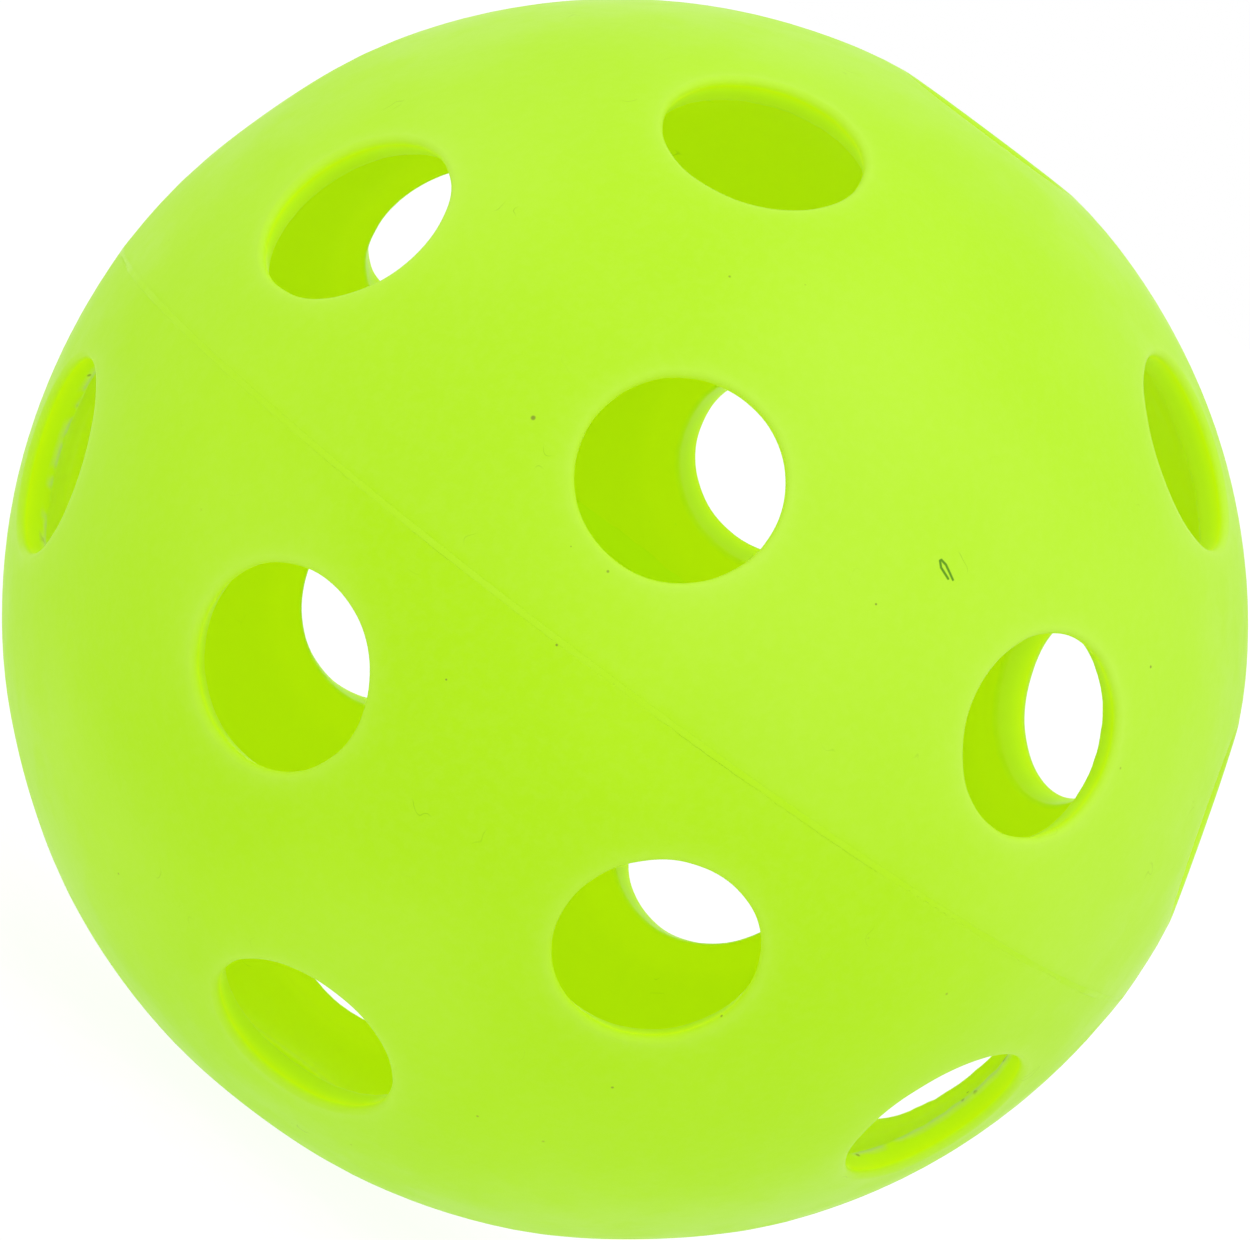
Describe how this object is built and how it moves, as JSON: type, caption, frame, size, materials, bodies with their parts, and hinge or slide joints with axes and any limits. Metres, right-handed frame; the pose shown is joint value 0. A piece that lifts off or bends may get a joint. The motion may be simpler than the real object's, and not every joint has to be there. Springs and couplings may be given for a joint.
{
  "type": "pickleball ball",
  "caption": "Hollow perforated plastic court ball: two identical moulded half shells with round air holes, joined by a weld bead round the equator.",
  "frame": {"origin": "centre of the ball", "axes": "+Z out through the hole at the north half's pole, square to the weld; -Y is the front, and +X and -Y each point towards a hole of the north half's ring of eight"},
  "size_m": [0.074, 0.074, 0.0722],
  "materials": {
    "moulded_plastic": "satin, slightly translucent moulded polyethylene, fluorescent lime",
    "weld_plastic": "satin, the same plastic melted and set again, a little paler"
  },
  "bodies": {
    "root": {"north_half_shell": "moulded_plastic", "south_half_shell": "moulded_plastic", "weld_bead": "weld_plastic"}
  },
  "joints": []
}
